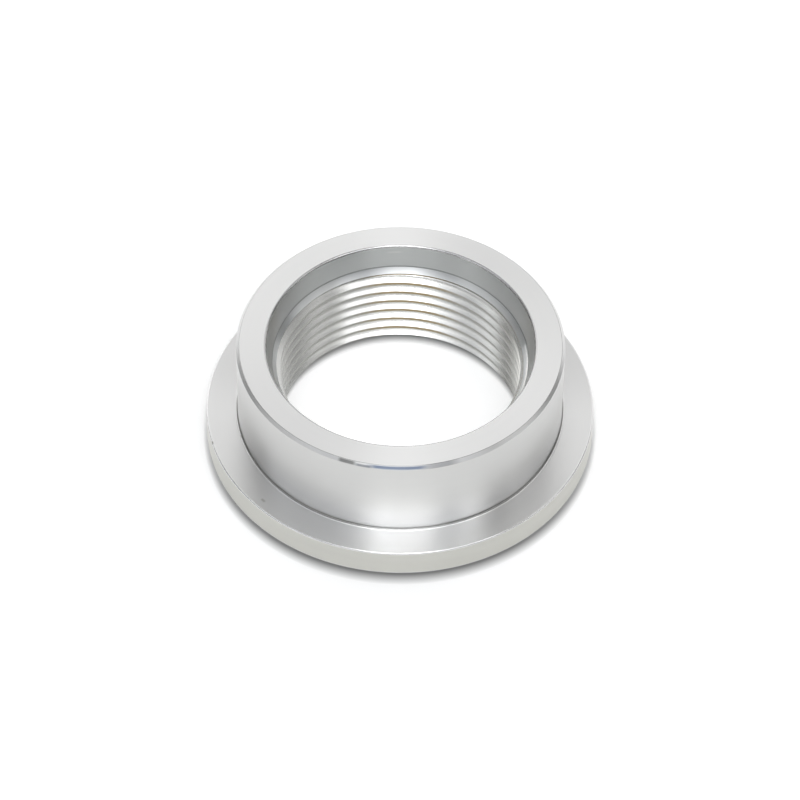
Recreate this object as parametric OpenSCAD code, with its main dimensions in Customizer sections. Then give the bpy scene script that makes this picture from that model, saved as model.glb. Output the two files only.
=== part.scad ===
// Weld-on bung turned from one piece of round bar: a flange, a plain barrel above it, and an
// open threaded port whose tapered seal seat is at the barrel's end.
// The origin is the centre of the flange's bottom face, and +Z points out of the port.
// Lengths are in millimetres.

/* [Flange] */
// Outside diameter of the flange
flange_d = 63.5; // [60:0.1:90]
// Thickness of the flange
flange_h = 4.85; // [2:0.05:10]
// Edge break round the flange's rim, on its top and its bottom edge
rim_break = 0.25; // [0.05:0.05:0.8]

/* [Barrel] */
// Outside diameter of the barrel
barrel_d = 53.2; // [48:0.1:56]
// Height of the barrel above the flange
barrel_h = 14.9; // [8:0.1:40]
// Chamfer on the outer edge of the barrel's end
end_chamfer = 0.5; // [0.1:0.05:1.5]
// Corner radius that the turning tool leaves where the barrel meets the flange
root_r = 0.3; // [0.1:0.05:1.5]

/* [Seal seat] */
// Diameter of the seat at its mouth, where the edge break ends
seat_d = 43.4; // [42.4:0.05:46]
// Taper of the seat on each side, in degrees
seat_angle = 15; // [5:0.5:18]
// Depth of the seat below the barrel's end face
seat_depth = 3.9; // [2.4:0.1:5]
// Edge break round the mouth of the seat
mouth_break = 0.4; // [0.05:0.05:0.8]

/* [Thread] */
// Major diameter of the thread, 1-5/8 in
thread_d = 41.275; // [38:0.005:42]
// Pitch of the thread, 12 to the inch
thread_pitch = 2.117; // [1:0.001:3.2]
// Angle of the lead-in between the seat and the thread, from the axis, in degrees
lead_angle = 45; // [30:1:60]
// Chamfer where the thread runs out through the flange's bottom face
exit_chamfer = 0.7; // [0.1:0.05:2]

/* [Hidden] */
$fn = 240;

// A unified internal thread is 5/8 of its sharp height deep, so its crests stand at this diameter
crest_depth = 5/8 * thread_pitch * cos(30);
bore_d = thread_d - 2 * crest_depth;
end_z = flange_h + barrel_h;
seat_z = end_z - seat_depth;
seat_bottom_d = seat_d - 2 * (seat_depth - mouth_break) * tan(seat_angle);
lead_h = (seat_bottom_d - bore_d) / 2 / tan(lead_angle);
// The port's cut runs past both end faces by this much
cut_past = 1;

// Outline of the blank from the axis out: the flange with its two broken edges, the radius at
// the root of the barrel, and the barrel with the chamfer on its end
module blank_section() {
    flange_r = flange_d / 2;
    barrel_r = barrel_d / 2;
    difference() {
        polygon([
            [0, 0],
            [flange_r - rim_break, 0],
            [flange_r, rim_break],
            [flange_r, flange_h - rim_break],
            [flange_r - rim_break, flange_h],
            [barrel_r + root_r, flange_h],
            [barrel_r, flange_h + root_r],
            [barrel_r, end_z - end_chamfer],
            [barrel_r - end_chamfer, end_z],
            [0, end_z]
        ]);
        translate([barrel_r + root_r, flange_h + root_r])
            circle(r = root_r, $fn = 48);
    }
}

// Outline of everything that the port takes away, from the bottom up: exit chamfer, bore at the
// crests of the thread, lead-in, tapered seat and the edge break of its mouth
module port_section() {
    bore_r = bore_d / 2;
    seat_r = seat_d / 2;
    polygon([
        [0, -cut_past],
        [bore_r + exit_chamfer + cut_past, -cut_past],
        [bore_r, exit_chamfer],
        [bore_r, seat_z - lead_h],
        [seat_bottom_d / 2, seat_z],
        [seat_r, end_z - mouth_break],
        [seat_r + mouth_break + cut_past, end_z + cut_past],
        [0, end_z + cut_past]
    ]);
}

module bung() {
    color([0.8, 0.8, 0.79])
        rotate_extrude()
            difference() {
                blank_section();
                port_section();
            }
}

bung();
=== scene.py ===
import math

import bpy
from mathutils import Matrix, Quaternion, Vector


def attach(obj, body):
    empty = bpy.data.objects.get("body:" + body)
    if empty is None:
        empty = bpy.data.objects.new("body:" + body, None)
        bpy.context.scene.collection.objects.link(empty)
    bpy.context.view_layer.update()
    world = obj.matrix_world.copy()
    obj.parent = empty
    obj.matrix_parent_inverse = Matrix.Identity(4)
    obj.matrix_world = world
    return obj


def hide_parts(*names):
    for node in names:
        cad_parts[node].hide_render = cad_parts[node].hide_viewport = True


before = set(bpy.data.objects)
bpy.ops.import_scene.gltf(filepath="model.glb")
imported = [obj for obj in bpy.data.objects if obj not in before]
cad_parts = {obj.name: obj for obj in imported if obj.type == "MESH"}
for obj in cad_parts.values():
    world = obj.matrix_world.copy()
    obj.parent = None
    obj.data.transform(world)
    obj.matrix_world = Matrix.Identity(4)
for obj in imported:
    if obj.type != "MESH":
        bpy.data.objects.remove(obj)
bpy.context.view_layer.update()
print("frame loaded")

mm = 0.001
samePlace = 2e-7  # metres: corners closer than this are one


def nothingSelected():
    if bpy.context.object and bpy.context.object.mode != "OBJECT":
        bpy.ops.object.mode_set(mode="OBJECT")
    bpy.ops.object.select_all(action="DESELECT")


def inEditMode(piece, selectMode="VERT"):
    nothingSelected()
    piece.select_set(True)
    bpy.context.view_layer.objects.active = piece
    bpy.ops.object.mode_set(mode="EDIT")
    bpy.ops.mesh.select_mode(type=selectMode)


def selectWhere(piece, kind, test):
    # kind is "vertices" or "polygons"; stays in edit mode, with only those selected
    bpy.ops.mesh.select_mode(type={"vertices": "VERT", "polygons": "FACE"}[kind])
    bpy.ops.mesh.select_all(action="DESELECT")
    bpy.ops.object.mode_set(mode="OBJECT")
    for part in getattr(piece.data, kind):
        part.select = test(part)
    bpy.ops.object.mode_set(mode="EDIT")


def isAt(vertex, spots):
    return min((vertex.co - spot).length for spot in spots) < samePlace


def drawOutline(name, corners):
    # one vertex, extruded from corner to corner in the XZ plane, and closed
    corners = [Vector((r * mm, 0, z * mm)) for r, z in corners]
    nothingSelected()
    bpy.ops.mesh.primitive_plane_add(size=mm, location=(0, 0, 0))
    piece = bpy.context.object
    piece.name = name
    inEditMode(piece)
    bpy.ops.mesh.select_all(action="SELECT")
    bpy.ops.mesh.merge(type="CENTER")
    bpy.ops.transform.translate(value=corners[0])
    for last, corner in zip(corners, corners[1:]):
        bpy.ops.mesh.extrude_vertices_move(TRANSFORM_OT_translate={"value": corner - last})
    ends = (corners[0], corners[-1])
    selectWhere(piece, "vertices", lambda v: isAt(v, ends))
    bpy.ops.mesh.edge_face_add()
    return piece


# the bung, turned from bar: sizes in millimetres, angles in degrees
bung = {
    "flangeDia": 63.5,
    "flangeHeight": 4.85,
    "rimRound": 0.25,
    "barrelDia": 53.2,
    "barrelHeight": 14.9,
    "endChamfer": 0.5,
    "rootRadius": 0.3,
    "seatDia": 43.614,  # where its taper would meet the end face
    "seatAngle": 15,
    "seatDepth": 3.9,
    "mouthRound": 0.34,
    "threadDia": 41.275,
    "threadPitch": 2.117,
    "threadDepth": 5 / 8,  # of the height at which the flanks would meet
    "flankAngle": 30,
    "exitChamfer": 0.7,
    "sharpEdge": 0.02,  # what is left on an edge that the tool doesn't break
    "chamferEdge": 0.04,
    "seatLine": (0.24, 0.05),  # the fine line cut at the seat's foot: height and depth
    "leadLine": (0.80, 0.14, 0.04),  # one more in the lead-in: distance down it, length and depth
    # where the facing cut stops short of the barrel: distance, height, and run of its face for that height
    "facingStep": (0.40, 0.055, 1.43),
    "roundSteps": 6,
    "mouthSteps": 8,
    "turnSteps": 360,
    "smoothAngle": 20,
}


def threadDepth(s):
    return s["threadDepth"] * s["threadPitch"] / 2 / math.tan(math.radians(s["flankAngle"]))


def portSizes(s):
    # radius of the thread's crests, and radius and height of the seat's foot
    crest = s["threadDia"] / 2 - threadDepth(s)
    seatR = s["seatDia"] / 2 - s["seatDepth"] * math.tan(math.radians(s["seatAngle"]))
    return crest, seatR, s["flangeHeight"] + s["barrelHeight"] - s["seatDepth"]


def bungCorners(s):
    # the turned section, from the bore's lower end outwards and back over the top,
    # as radius, height, rounding and steps in the rounding
    crest, seatR, seatZ = portSizes(s)
    flange = s["flangeHeight"]
    top = flange + s["barrelHeight"]
    rim = s["flangeDia"] / 2
    barrel = s["barrelDia"] / 2
    slope = math.tan(math.radians(s["seatAngle"]))
    plain = (0, 0)
    sharp = (s["sharpEdge"], 1)
    edge = (s["chamferEdge"], 1)
    rimBreak = (s["rimRound"], s["roundSteps"])
    lineHigh, lineDeep = s["seatLine"]
    down, length, deep = s["leadLine"]
    stepOut, stepHigh, stepRun = s["facingStep"]
    return [
        (crest, s["exitChamfer"], *sharp),
        (crest + s["exitChamfer"], 0, *sharp),
        (rim, 0, *rimBreak),
        (rim, flange, *rimBreak),
        (barrel + stepOut, flange, *plain),
        (barrel + stepOut - stepRun * stepHigh, flange + stepHigh, *plain),
        (barrel, flange + stepHigh, s["rootRadius"], s["roundSteps"]),
        (barrel, top - s["endChamfer"], *edge),
        (barrel - s["endChamfer"], top, *edge),
        (s["seatDia"] / 2, top, s["mouthRound"], s["mouthSteps"]),
        (seatR + lineHigh * slope, seatZ + lineHigh, *plain),
        (seatR + lineHigh * slope / 2 + lineDeep, seatZ + lineHigh / 2, *plain),
        (seatR, seatZ, *plain),
        (seatR - down, seatZ - down, *plain),
        (seatR - down - length / 2 + deep, seatZ - down - length / 2 - deep, *plain),
        (seatR - down - length, seatZ - down - length, *plain),
        (crest, seatZ - (seatR - crest), *sharp),
    ]


def turnBlank(s):
    corners = bungCorners(s)
    blank = drawOutline("turnedBung", [corner[:2] for corner in corners])
    for radius, steps in sorted({corner[2:] for corner in corners if corner[3]}):
        alike = [corner for corner in corners if corner[2:] == (radius, steps)]
        spots = [Vector((r * mm, 0, z * mm)) for r, z, *rounding in alike]
        selectWhere(blank, "vertices", lambda v: isAt(v, spots))
        bpy.ops.mesh.bevel(offset=radius * mm, segments=steps, affect="VERTICES")
    bpy.ops.mesh.select_all(action="SELECT")
    bpy.ops.mesh.spin(steps=s["turnSteps"], angle=2 * math.pi, center=(0, 0, 0), axis=(0, 0, 1))
    bpy.ops.mesh.select_all(action="SELECT")
    bpy.ops.mesh.remove_doubles(threshold=samePlace)
    bpy.ops.mesh.normals_make_consistent(inside=False)
    bpy.ops.object.mode_set(mode="OBJECT")
    return blank


turned = turnBlank(bung)
print("blank turned:", len(turned.data.vertices), "vertices")

# the thread's groove: the flat at its root, and where it starts
groove = {
    "rootFlat": 1 / 8,  # of the pitch
    "pastCrest": 0.3,  # millimetres that the cut runs in past the crests
    "startZ": -1.139,  # millimetres to the middle of the groove where it starts, on +X
    "turns": 9,
}


def cutThread(piece, s, g):
    pitch = s["threadPitch"]
    major = s["threadDia"] / 2
    depth = threadDepth(s) + g["pastCrest"]
    rootHalf = g["rootFlat"] * pitch / 2
    mouthHalf = rootHalf + depth * math.tan(math.radians(s["flankAngle"]))
    z = g["startZ"]
    tool = drawOutline("threadTool", [
        (major - depth, z - mouthHalf),
        (major, z - rootHalf),
        (major, z + rootHalf),
        (major - depth, z + mouthHalf),
    ])
    bpy.ops.object.mode_set(mode="OBJECT")
    screw = tool.modifiers.new("helix", "SCREW")
    screw.axis = "Z"
    screw.screw_offset = pitch * mm
    screw.iterations = g["turns"]
    screw.steps = s["turnSteps"]
    screw.render_steps = s["turnSteps"]
    screw.use_merge_vertices = False
    bpy.ops.object.modifier_apply(modifier=screw.name)
    # both ends of the tool are closed
    inEditMode(tool, "EDGE")
    bpy.ops.mesh.select_all(action="DESELECT")
    bpy.ops.mesh.select_non_manifold()
    bpy.ops.mesh.edge_face_add()
    bpy.ops.mesh.select_all(action="SELECT")
    bpy.ops.mesh.normals_make_consistent(inside=False)
    bpy.ops.object.mode_set(mode="OBJECT")

    nothingSelected()
    piece.select_set(True)
    bpy.context.view_layer.objects.active = piece
    cut = piece.modifiers.new("thread", "BOOLEAN")
    cut.operation = "DIFFERENCE"
    cut.object = tool
    cut.solver = "EXACT"
    bpy.ops.object.modifier_apply(modifier=cut.name)
    bpy.data.objects.remove(tool, do_unlink=True)


cutThread(turned, bung, groove)
print("thread cut:", len(turned.data.polygons), "faces")


def finishBung(piece, s):
    inEditMode(piece)
    bpy.ops.mesh.select_all(action="SELECT")
    bpy.ops.mesh.remove_doubles(threshold=samePlace)
    bpy.ops.mesh.normals_make_consistent(inside=False)
    bpy.ops.object.mode_set(mode="OBJECT")
    bpy.ops.object.shade_smooth_by_angle(angle=math.radians(s["smoothAngle"]))
    flats = piece.modifiers.new("flatsStayFlat", "WEIGHTED_NORMAL")
    flats.weight = 80  # the large faces win over the narrow ones beside them
    flats.keep_sharp = True
    bpy.ops.object.modifier_apply(modifier=flats.name)


finishBung(turned, bung)


def tools(tree):
    # short names for the nodes that a material, a group or the world is made of
    def join(node, socket, source):
        if hasattr(source, "links"):
            tree.links.new(source, node.inputs[socket])
        else:
            node.inputs[socket].default_value = source

    def maths(operation, *sources):
        node = tree.nodes.new("ShaderNodeMath")
        node.operation = operation
        for i, source in enumerate(sources):
            join(node, i, source)
        return node.outputs[0]

    def ramp(value, low, high, start, end, smooth=False):
        node = tree.nodes.new("ShaderNodeMapRange")
        if smooth:
            node.interpolation_type = "SMOOTHSTEP"
        for i, source in enumerate((value, low, high, start, end)):
            join(node, i, source)
        return node.outputs[0]

    return join, maths, ramp


# the finish that the lathe leaves: marks that run round the part, with slow stains across them
marks = {
    "feed": 0.16,  # millimetres from one fine line to the next
    "lineRun": 30,  # millimetres round the part before a line changes
    "bands": 1.1,  # millimetres across the wider, fainter bands
    "bandRun": 24,
    "bandHeight": 0.5,  # against a line's
    "onWalls": 0.73,  # lines on an upright wall, for each one on a level face
    "stains": 9.0,  # millimetres across a stain
}


def marksGroup(m):
    group = bpy.data.node_groups.new("turningMarks", "ShaderNodeTree")
    for name in ("Lines", "Bands", "Stains"):
        socket = group.interface.new_socket(name, in_out="INPUT", socket_type="NodeSocketFloat")
        socket.default_value = 1
    for name, kind in (("Height", "Float"), ("Tone", "Float"), ("Tangent", "Vector")):
        group.interface.new_socket(name, in_out="OUTPUT", socket_type="NodeSocket" + kind)
    nodes = group.nodes
    join, maths, ramp = tools(group)
    inside = nodes.new("NodeGroupInput")
    outside = nodes.new("NodeGroupOutput")
    place = nodes.new("ShaderNodeTexCoord").outputs["Object"]
    parts = nodes.new("ShaderNodeSeparateXYZ")
    join(parts, 0, place)
    x, y, z = parts.outputs
    radius = maths("SQRT", maths("ADD", maths("MULTIPLY", x, x), maths("MULTIPLY", y, y)))
    along = maths("MULTIPLY", maths("ADD", radius, maths("MULTIPLY", z, m["onWalls"])), 1 / mm)

    def cloud(vector, scale, detail):
        texture = nodes.new("ShaderNodeTexNoise")
        for socket, source in (("Vector", vector), ("Scale", scale), ("Detail", detail)):
            join(texture, socket, source)
        return maths("SUBTRACT", texture.outputs["Fac"], 0.5)

    def drawnOut(across, run, detail):
        # narrow across the section, and drawn out round the axis
        vector = nodes.new("ShaderNodeCombineXYZ")
        join(vector, 0, maths("DIVIDE", along, across))
        join(vector, 1, maths("DIVIDE", x, run * mm))
        join(vector, 2, maths("DIVIDE", y, run * mm))
        return cloud(vector.outputs[0], 1, detail)

    lines = maths("MULTIPLY", drawnOut(m["feed"], m["lineRun"], 2), inside.outputs["Lines"])
    bands = maths("MULTIPLY", drawnOut(m["bands"], m["bandRun"], 1), inside.outputs["Bands"])
    stains = maths("MULTIPLY", cloud(place, 1 / (m["stains"] * mm), 3), inside.outputs["Stains"])
    join(outside, "Height", maths("ADD", lines, maths("MULTIPLY", bands, m["bandHeight"])))
    join(outside, "Tone", maths("ADD", maths("ADD", lines, bands), stains))
    turn = nodes.new("ShaderNodeVectorMath")
    turn.operation = "CROSS_PRODUCT"
    join(turn, 0, (0, 0, 1))
    join(turn, 1, place)
    straight = nodes.new("ShaderNodeVectorMath")
    straight.operation = "NORMALIZE"
    join(straight, 0, turn.outputs[0])
    join(outside, "Tangent", straight.outputs[0])
    return group


turningMarks = marksGroup(marks)


def patchGroup():
    # a soft-edged mask for a patch of the turned surface: azimuth in degrees, and its place
    # along the section as height less half the radius, in millimetres
    group = bpy.data.node_groups.new("patchMask", "ShaderNodeTree")
    for name in ("Azimuth", "Half Width", "Width Softness", "Place", "Half Length", "Length Softness"):
        group.interface.new_socket(name, in_out="INPUT", socket_type="NodeSocketFloat")
    group.interface.new_socket("Mask", in_out="OUTPUT", socket_type="NodeSocketFloat")
    join, maths, ramp = tools(group)
    given = group.nodes.new("NodeGroupInput").outputs
    parts = group.nodes.new("ShaderNodeSeparateXYZ")
    join(parts, 0, group.nodes.new("ShaderNodeTexCoord").outputs["Object"])
    x, y, z = parts.outputs
    turn = maths("DEGREES", maths("ARCTAN2", y, x))
    aside = maths("ABSOLUTE", maths("WRAP", maths("SUBTRACT", turn, given["Azimuth"]), 180, -180))
    radius = maths("SQRT", maths("ADD", maths("MULTIPLY", x, x), maths("MULTIPLY", y, y)))
    along = maths("MULTIPLY", maths("MULTIPLY_ADD", radius, -0.5, z), 1 / mm)
    above = maths("ABSOLUTE", maths("SUBTRACT", along, given["Place"]))

    def fade(off, half, soft):
        return ramp(off, maths("SUBTRACT", half, soft), maths("ADD", half, soft), 1, 0, smooth=True)

    inWidth = fade(aside, given["Half Width"], given["Width Softness"])
    inLength = fade(above, given["Half Length"], given["Length Softness"])
    join(group.nodes.new("NodeGroupOutput"), "Mask", maths("MULTIPLY", inWidth, inLength))
    return group


patchMask = patchGroup()

# a patch that gives no turn goes all round, and one that gives no place covers the whole section
allRound = (0, 400, 1)
wholeSection = (0, 100, 1)


def turnedMaterial(m):
    material = bpy.data.materials.new(m["name"])
    material.use_nodes = True
    nodes = material.node_tree.nodes
    join, maths, ramp = tools(material.node_tree)
    shader = nodes["Principled BSDF"]
    lathe = nodes.new("ShaderNodeGroup")
    lathe.node_tree = turningMarks
    for socket in ("Lines", "Bands", "Stains"):
        join(lathe, socket, m[socket.lower()])
    tone = lathe.outputs["Tone"]
    colour = nodes.new("ShaderNodeMix")
    colour.data_type = "RGBA"
    join(colour, "Factor", ramp(tone, -0.5, 0.5, 0, 1))
    join(colour, "A", [c * (1 - m["toneSpread"]) for c in m["colour"]] + [1])
    join(colour, "B", [c * (1 + m["toneSpread"]) for c in m["colour"]] + [1])
    for patch in m["patches"]:
        mask = nodes.new("ShaderNodeGroup")
        mask.node_tree = patchMask
        for i, value in enumerate(patch.get("turn", allRound) + patch.get("place", wholeSection)):
            join(mask, i, value)
        stained = nodes.new("ShaderNodeMix")
        stained.data_type = "RGBA"
        stained.blend_type = "MULTIPLY"
        join(stained, "Factor", mask.outputs["Mask"])
        join(stained, "A", colour.outputs["Result"])
        join(stained, "B", (*patch["by"], 1))
        colour = stained
    join(shader, "Base Color", colour.outputs["Result"])
    rough, spread = m["roughness"], m["roughSpread"]
    join(shader, "Roughness", ramp(tone, -0.5, 0.5, rough + spread, rough - spread))
    bump = nodes.new("ShaderNodeBump")
    join(bump, "Strength", 1)
    join(bump, "Distance", m["bump"] * mm)
    join(bump, "Height", lathe.outputs["Height"])
    join(shader, "Normal", bump.outputs["Normal"])
    join(shader, "Tangent", lathe.outputs["Tangent"])
    join(shader, "Metallic", 1)
    join(shader, "Anisotropic", m["anisotropy"])
    join(shader, "Anisotropic Rotation", 0.25)  # across the turning marks
    return material


# what the broad faces share: "lines", "bands" and "stains" say how strong the marks are
turnedFinish = {
    "roughness": 0.28, "anisotropy": 0.9, "lines": 0.25, "bands": 0.35, "stains": 0.6,
    "toneSpread": 0.025, "roughSpread": 0.012, "bump": 0.002, "patches": [],
}
# and what the narrow edges and lines share
edgeFinish = {
    **turnedFinish, "roughness": 0.35, "anisotropy": 0.5, "lines": 0.2, "bands": 0.6, "stains": 1.0,
    "toneSpread": 0.04, "roughSpread": 0.03,
}
# painted light on the near side of the end's chamfer: a painted blue reflection and painted dark
# reflections, put into the colour
paintedChamferFinish = {
    **edgeFinish, "roughness": 0.34, "toneSpread": 0.05,
    "patches": [
        {"turn": (-90.5, 9.5, 2.5), "place": (6.3, 0.27, 0.15), "by": (0.26, 0.31, 0.41)},
        {"turn": (-108.3, 2.8, 0.8), "place": (6.3, 0.3, 0.12), "by": (0.40, 0.40, 0.39)},
        {"turn": (-102.4, 2.6, 1), "place": (6.15, 0.2, 0.1), "by": (0.45, 0.46, 0.48)},
        {"turn": (-75.5, 5.5, 3), "by": (0.55, 0.55, 0.56)},
        {"turn": (-61, 8, 4), "by": (0.84, 0.84, 0.84)},
    ],
}

# patches: "turn" and "place" are middle, half size and softness; "by" multiplies the colour
finishes = [
    {**turnedFinish, "name": "turnedFaces", "colour": (0.70, 0.70, 0.696),
     "patches": [
         # a speck on the flange, and painted shade that makes the back of the flange duller
         {"turn": (-136.2, 0.75, 0.4), "place": (-10.25, 0.1, 0.06), "by": (0.72, 0.72, 0.69)},
         {"turn": (90, 82, 14), "place": (-9.9, 1.2, 0.2), "by": (0.86, 0.86, 0.86)},
     ]},
    {**turnedFinish, "name": "turnedBarrel", "colour": (0.70, 0.70, 0.698),
     "patches": [
         # painted shade over the root on both sides, and a band higher up painted duller, also as shade
         {"turn": (-142, 36, 6), "place": (-8.15, 0.3, 0.28), "by": (0.82, 0.82, 0.81)},
         {"turn": (-38, 36, 6), "place": (-8.15, 0.3, 0.28), "by": (0.82, 0.82, 0.81)},
         {"place": (6, 10.5, 2.5), "by": (0.92, 0.92, 0.905)},
     ]},
    # the rim is painted darker and warmer than the metal, as shade for what it reflects
    {**turnedFinish, "name": "turnedRim", "colour": (0.60, 0.597, 0.558), "roughness": 0.30,
     "lines": 0.3, "bands": 0.5, "stains": 0.8, "toneSpread": 0.04, "roughSpread": 0.02},
    {**turnedFinish, "name": "turnedThread", "colour": (0.71, 0.71, 0.695), "roughness": 0.25,
     "lines": 0.2, "bands": 0.3, "toneSpread": 0.03, "roughSpread": 0.01, "bump": 0.001,
     "patches": [
         # painted light: the far wall painted brighter as a highlight, the wall at 155 degrees duller as
         # shade, and a touch lighter at 25 degrees
         {"turn": (88, 22, 14), "by": (1.31, 1.31, 1.32)},
         {"turn": (155, 22, 15), "by": (0.77, 0.77, 0.765)},
         {"turn": (25, 22, 12), "by": (1.03, 1.03, 1.01)},
     ]},
    # the crests are painted dark as shade, with a painted warm reflection on the far wall
    {**turnedFinish, "name": "threadCrests", "colour": (0.33, 0.33, 0.31), "roughness": 0.25,
     "lines": 0.3, "bands": 0.5, "toneSpread": 0.08, "roughSpread": 0.03,
     "patches": [{"turn": (87, 19, 12), "by": (0.98, 0.80, 0.52)}]},
    {**turnedFinish, "name": "taperedSeat", "colour": (0.665, 0.685, 0.685), "stains": 0.7,
     "patches": [
         # a smear by the mouth, and sides painted duller as shade
         {"turn": (93.3, 3, 1.5), "place": (7.85, 0.14, 0.1), "by": (1.12, 1.1, 1.1)},
         {"turn": (180, 45, 30), "by": (0.70, 0.69, 0.69)},
         {"turn": (0, 45, 30), "by": (0.82, 0.81, 0.81)},
     ]},
    {**turnedFinish, "name": "leadIn", "colour": (0.72, 0.735, 0.735), "stains": 0.7,
     "patches": [
         # painted shade: the lead-in is duller at these two places round it
         {"turn": (110, 12, 6), "by": (0.8, 0.8, 0.805)},
         {"turn": (139, 6, 6), "by": (0.84, 0.84, 0.84)},
     ]},
    {**paintedChamferFinish, "name": "endChamfer", "colour": (0.72, 0.72, 0.715)},
    # the chamfer's narrow edges are painted dark, as shade
    {**paintedChamferFinish, "name": "chamferEdges", "colour": (0.34, 0.34, 0.335)},
    # the rounded edges are painted a little lighter than the faces, as a highlight
    {**edgeFinish, "name": "rimEdges", "colour": (0.74, 0.74, 0.74), "roughness": 0.2, "anisotropy": 0.7,
     "roughSpread": 0.02,
     "patches": [{"turn": (-164, 0.6, 0.3), "by": (0.6, 0.6, 0.59)}]},  # a notch
    # painted dark, as shade that dims the mouth edge's reflection
    {**edgeFinish, "name": "mouthEdge", "colour": (0.5, 0.5, 0.5), "roughness": 0.25, "anisotropy": 0.7,
     "roughSpread": 0.02},
    # the root's radius is painted dark, as shade
    {**edgeFinish, "name": "rootLine", "colour": (0.37, 0.37, 0.36), "toneSpread": 0.08,
     "patches": [
         # a painted highlight in the middle of the near side, and painted shade darkest at its foot
         {"turn": (-90, 12, 8), "by": (1.5, 1.5, 1.52)},
         {"place": (-8.5, 0.1, 0.08), "by": (0.5, 0.5, 0.5)},
     ]},
    # a real cut line, painted darker as the shade in it
    {**edgeFinish, "name": "seatLine", "colour": (0.44, 0.45, 0.45), "toneSpread": 0.06},
]


def whichFinish(face, s):
    # from the face's place, in millimetres, and how far it lies back from upright, in degrees
    near = 0.004  # flat faces stand this close to the circle that they stand for
    r = math.hypot(face.center.x, face.center.y) / mm
    z = face.center.z / mm
    lean = math.degrees(math.asin(min(abs(face.normal.z), 1)))
    upright, level = lean < 6, lean > 84
    onFlank = abs(lean - (90 - s["flankAngle"])) < 4
    crest, seatR, seatZ = portSizes(s)
    barrel, flange = s["barrelDia"] / 2, s["flangeHeight"]
    top = flange + s["barrelHeight"]
    if r < s["threadDia"] / 2 + near and z < seatZ - (seatR - crest):
        return "threadCrests" if r < crest + near and z > s["exitChamfer"] else "turnedThread"
    lineHigh = s["seatLine"][0]
    if r < seatR + lineHigh and seatZ < z < seatZ + lineHigh:
        return "seatLine"
    if r < seatR + near and z < seatZ:
        if upright or onFlank:
            return "turnedThread"  # its first turn, cut through the lead-in
        start, length = s["leadLine"][:2]
        if seatZ - z < start:
            return "leadIn"
        return "threadCrests" if seatZ - z < start + length else "turnedThread"
    chamfer = s["endChamfer"] + s["chamferEdge"]
    if r > barrel - chamfer and z > top - chamfer and not upright and not level:
        return "endChamfer" if lean < 50 else "chamferEdges"  # the chamfer itself lies at 45
    rootTop = flange + s["facingStep"][1] + s["rootRadius"]
    if barrel - near < r < barrel + s["rootRadius"] and flange < z < rootTop and not upright:
        return "rootLine" if lean < 75 else "rimEdges"  # painted shade on the radius, and the lighter edge colour where it runs out level
    if r > s["flangeDia"] / 2 - s["rimRound"]:
        return "turnedRim" if upright or level else "rimEdges"
    if abs(r - barrel) < near and upright:
        return "turnedBarrel"
    if z > top - s["mouthRound"] and s["seatAngle"] + 2 < lean and not level:
        return "mouthEdge" if lean > 46 else "rimEdges"  # painted duller over the upper half, as shade
    return "taperedSeat" if r < s["seatDia"] / 2 and z > seatZ else "turnedFaces"


def giveFinishes(piece, s):
    piece.data.materials.clear()
    for finish in finishes:
        piece.data.materials.append(turnedMaterial(finish))
    chosen = [whichFinish(face, s) for face in piece.data.polygons]
    inEditMode(piece, "FACE")
    for slot, finish in enumerate(finishes[1:], 1):
        selectWhere(piece, "polygons", lambda face: chosen[face.index] == finish["name"])
        piece.active_material_index = slot
        bpy.ops.object.material_slot_assign()
    bpy.ops.object.mode_set(mode="OBJECT")
    print("finishes:", {finish["name"]: chosen.count(finish["name"]) for finish in finishes})


giveFinishes(turned, bung)

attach(turned, "root")
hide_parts("bung")

# the surface it stands on: pale paper, with a painted narrow shadow where the bung meets it, seen by the
# camera only
floor = {
    "size": 12.0,  # metres
    "colour": (0.9, 0.9, 0.9, 1),
    "roughness": 0.9,
    "lift": 0.16,  # how much whiter the paper looks than the light alone makes it
    "boreLift": 0.34,  # the same inside the bore, higher there as painted light against the bore's shade
    "shadeTones": (0.2, 0.8),  # of the paper at the foot: on the side away from the light, and at most
    "toneRise": 0.6,  # how fast that tone rises towards the light
    "shadeStart": 0.2,  # millimetres from the foot before the shade fades
    "shadeReach": (2.5, 0.7),  # and where it ends: on the side away from the light, and at least
    "reachFall": 2,  # how fast that end draws in towards the light
}


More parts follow.
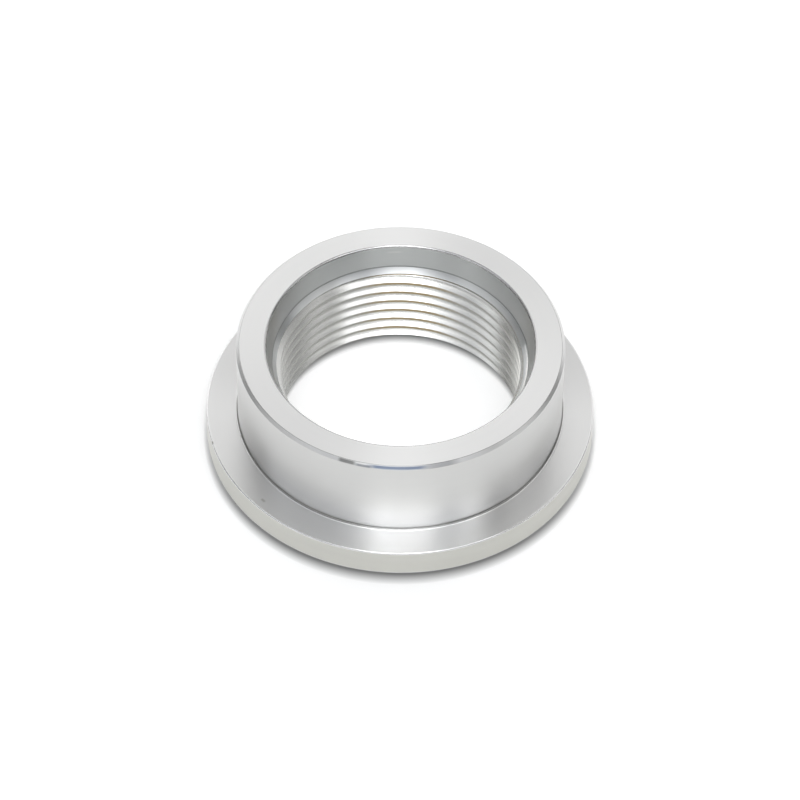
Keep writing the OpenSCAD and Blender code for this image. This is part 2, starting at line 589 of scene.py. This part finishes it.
def makeFloor(f, s):
    nothingSelected()
    bpy.ops.mesh.primitive_plane_add(size=f["size"], location=(0, 0, 0))
    piece = bpy.context.object
    piece.name = "floor"
    material = bpy.data.materials.new("palePaper")
    material.use_nodes = True
    tree = material.node_tree
    join, maths, ramp = tools(tree)
    split = tree.nodes.new("ShaderNodeSeparateXYZ")
    join(split, 0, tree.nodes.new("ShaderNodeTexCoord").outputs["Object"])
    x, y = split.outputs[:2]
    radius = maths("SQRT", maths("ADD", maths("MULTIPLY", x, x), maths("MULTIPLY", y, y)))
    behind = maths("DIVIDE", y, radius)

    def footShade(distance, towardsLight, smooth):
        # towardsLight is -1 on the side where the shade is deepest, and 1 on the other
        side = maths("ADD", towardsLight, 1)
        deepest, palest = f["shadeTones"]
        tone = maths("MULTIPLY_ADD", maths("MULTIPLY", side, side), f["toneRise"], deepest)
        longest, shortest = f["shadeReach"]
        reach = maths("MULTIPLY_ADD", side, -f["reachFall"] * mm, longest * mm)
        return ramp(distance, f["shadeStart"] * mm, maths("MAXIMUM", reach, shortest * mm),
                    maths("MINIMUM", tone, palest), 1, smooth)

    outer = footShade(maths("SUBTRACT", radius, s["flangeDia"] / 2 * mm), behind, False)
    boreRadius = (portSizes(s)[0] + s["exitChamfer"]) * mm
    inner = footShade(maths("SUBTRACT", boreRadius, radius), maths("MULTIPLY", behind, -1), True)
    inBore = maths("LESS_THAN", radius, boreRadius)
    shade = tree.nodes.new("ShaderNodeMix")
    for socket, source in (("Factor", inBore), ("A", outer), ("B", inner)):
        join(shade, socket, source)
    path = tree.nodes.new("ShaderNodeLightPath")
    # the painted shadow is seen by the camera only
    shade = ramp(path.outputs["Is Camera Ray"], 0, 1, 1, shade.outputs["Result"])
    colour = tree.nodes.new("ShaderNodeMix")
    colour.data_type = "RGBA"
    join(colour, "Factor", shade)
    join(colour, "A", (0, 0, 0, 1))
    join(colour, "B", f["colour"])
    shader = tree.nodes["Principled BSDF"]
    join(shader, "Base Color", colour.outputs["Result"])
    join(shader, "Roughness", f["roughness"])
    join(shader, "Specular IOR Level", 0.0)
    glow = tree.nodes.new("ShaderNodeEmission")
    seen = maths("MAXIMUM", maths("MAXIMUM", path.outputs["Is Camera Ray"], path.outputs["Is Glossy Ray"]),
                 path.outputs["Is Transmission Ray"])
    lift = maths("MULTIPLY", shade, ramp(inBore, 0, 1, f["lift"], f["boreLift"]))
    join(glow, "Strength", maths("MULTIPLY", seen, lift))
    both = tree.nodes.new("ShaderNodeAddShader")
    join(both, 0, shader.outputs[0])
    join(both, 1, glow.outputs[0])
    join(tree.nodes["Material Output"], "Surface", both.outputs[0])
    piece.data.materials.append(material)


makeFloor(floor, bung)

# soft studio light all round, as boxes and cards in the sky: angles in degrees, each box with its
# middle, half sizes and softness across and up; azimuth 0 is on the camera's side
studio = [
    {"name": "wideBox", "azimuth": -25, "elevation": 49.2, "half": (80.8, 7.0),
     "soft": (9.3, 8.5), "strength": 1.83, "tint": (0.975, 0.995, 1.03)},
    {"name": "keyBox", "azimuth": 3, "elevation": 62.3, "half": (65.7, 6.3),
     "soft": (31.9, 2.5), "strength": 2.11, "tint": (0.985, 1.0, 1.02)},
    {"name": "highBox", "azimuth": 1, "elevation": 63.0, "half": (29.2, 12.0),
     "soft": (13.9, 4.9), "strength": 2.83},
    {"name": "centreBox", "azimuth": -10, "elevation": 48.0, "half": (5.6, 6.0),
     "soft": (5.1, 2.5), "strength": 1.18, "tint": (0.95, 0.99, 1.05)},
    {"name": "lowCard", "azimuth": -12, "elevation": 3.9, "half": (45.0, 6.4),
     "soft": (9.3, 10.8), "strength": 1.29},
    {"name": "backCard", "azimuth": 177, "elevation": 37.8, "half": (53.7, 40.0),
     "soft": (9.0, 2.6), "strength": 1.05},
    {"name": "topBox", "azimuth": 0, "elevation": 90.0, "half": (171.2, 9.4),
     "soft": (12.6, 4.8), "strength": 2.81},
    {"name": "rightCard", "azimuth": 88, "elevation": 36.8, "half": (18.8, 17.2),
     "soft": (19.7, 2.9), "strength": 1.17},
    {"name": "leftCard", "azimuth": 245, "elevation": 27.5, "half": (67.4, 5.0),
     "soft": (9.0, 3.6), "strength": 1.28},
    {"name": "rightBox", "azimuth": 57, "elevation": 49.8, "half": (9.7, 11.1),
     "soft": (12.9, 7.5), "strength": 2.66},
    {"name": "sideFill", "azimuth": 82, "elevation": 47.0, "half": (5.0, 10.0),
     "soft": (7.0, 7.0), "strength": 0.55},
    {"name": "rightFill", "azimuth": 131, "elevation": 47.0, "half": (12.0, 10.0),
     "soft": (14.0, 7.0), "strength": 0.48},
    {"name": "leftFill", "azimuth": 230, "elevation": 47.0, "half": (12.0, 10.0),
     "soft": (14.0, 7.0), "strength": 0.34},
]


def paintStudio(boxes):
    world = bpy.data.worlds.new("studio")
    bpy.context.scene.world = world
    world.use_nodes = True
    tree = world.node_tree
    join, maths, ramp = tools(tree)
    split = tree.nodes.new("ShaderNodeSeparateXYZ")
    join(split, 0, tree.nodes.new("ShaderNodeTexCoord").outputs["Generated"])
    x, y, z = split.outputs
    azimuth = maths("DEGREES", maths("ARCTAN2", x, maths("MULTIPLY", y, -1)))
    elevation = maths("DEGREES", maths("ARCSINE", z))
    total = (0, 0, 0)
    for box in boxes:
        aside = maths("ABSOLUTE", maths("WRAP", maths("SUBTRACT", azimuth, box["azimuth"]), 180, -180))
        above = maths("ABSOLUTE", maths("SUBTRACT", elevation, box["elevation"]))
        inside = [ramp(off, half - soft, half + soft, 1, 0, smooth=True)
                  for off, half, soft in zip((aside, above), box["half"], box["soft"])]
        add = tree.nodes.new("ShaderNodeVectorMath")
        add.operation = "MULTIPLY_ADD"
        join(add, 0, maths("MULTIPLY", *inside))
        join(add, 1, [c * box["strength"] for c in box.get("tint", (1, 1, 1))])
        join(add, 2, total)
        total = add.outputs[0]
    join(tree.nodes["Background"], "Color", total)


paintStudio(studio)
print("stage and light placed")

# the photograph's camera, found from its edges: lengths in metres, angles in degrees
camera = {
    "distance": 0.665,
    "elevation": 48.67,
    "aimHeight": 0.00601,
    "roll": 0.68,
    "lens": 181.33,  # millimetres
    "sensor": 36,
    "clip": (0.01, 20),
}


def placeCamera(c):
    rise = math.radians(c["elevation"])
    spot = Vector((0, -math.cos(rise), math.sin(rise))) * c["distance"]
    aim = Vector((0, 0, c["aimHeight"]))
    turn = (aim - spot).to_track_quat("-Z", "Y") @ Quaternion((0, 0, 1), math.radians(c["roll"]))
    bpy.ops.object.camera_add(location=spot, rotation=turn.to_euler())
    eye = bpy.context.object
    eye.name = "photoCamera"
    eye.data.lens = c["lens"]
    eye.data.sensor_width = c["sensor"]
    eye.data.clip_start, eye.data.clip_end = c["clip"]
    bpy.context.scene.camera = eye


placeCamera(camera)
bpy.context.scene.view_settings.view_transform = "Standard"
print("camera placed")
